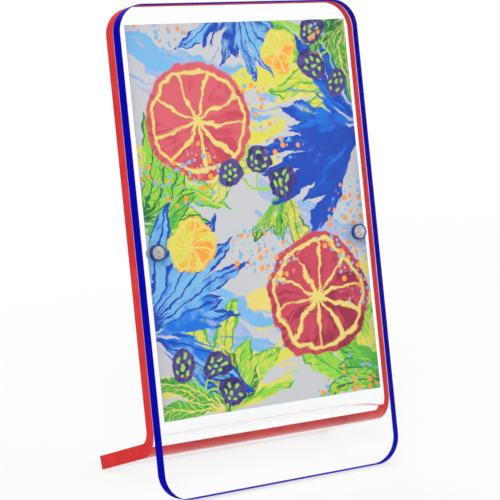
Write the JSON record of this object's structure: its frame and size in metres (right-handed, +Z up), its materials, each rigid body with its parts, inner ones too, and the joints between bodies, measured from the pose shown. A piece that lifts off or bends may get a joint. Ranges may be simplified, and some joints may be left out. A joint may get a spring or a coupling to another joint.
{
  "type": "magnetic photo frame",
  "caption": "Free-standing photo frame: a flat clear acrylic cover held by magnets to a bent acrylic stand, with a paper print between and coloured edges.",
  "frame": {"origin": "on the table, under the middle of the assembly's outer box: centred across the width and between the front sheet's lower edge and the foot's end", "axes": "+Z up, -Y out of the front face towards the viewer, +Y along the foot, +X to the viewer's right"},
  "size_m": [0.11, 0.0564, 0.1876],
  "materials": {
    "clear_acrylic": "clear polished cast acrylic",
    "blue_edge": "translucent deep blue layer on the sawn edge, satin",
    "red_edge": "translucent red layer on the sawn edge, satin",
    "magnet_nickel": "bright nickel plating",
    "clear_glue": "clear adhesive",
    "print_paper": "semi-gloss coated photo paper"
  },
  "bodies": {
    "stand": {"rear_panel": "clear_acrylic", "rear_edge_colour": "red_edge", "rear_left_magnet": "magnet_nickel", "rear_right_magnet": "magnet_nickel", "rear_left_glue": "clear_glue", "rear_right_glue": "clear_glue"},
    "cover": {"front_panel": "clear_acrylic", "front_edge_colour": "blue_edge", "front_left_magnet": "magnet_nickel", "front_right_magnet": "magnet_nickel", "front_left_glue": "clear_glue", "front_right_glue": "clear_glue"},
    "print": {"photo_print": "print_paper"}
  },
  "joints": [
    {"name": "cover_pull", "type": "slide", "parent": "stand", "child": "cover", "axis": [0, -0.9794, 0.202], "range_m": [0, 0.05], "stiffness_N_per_m": 50, "springref_m": -0.1},
    {"name": "print_slide", "type": "slide", "parent": "stand", "child": "print", "axis": [0, 0.202, 0.9794], "range_m": [0, 0.16]}
  ]
}
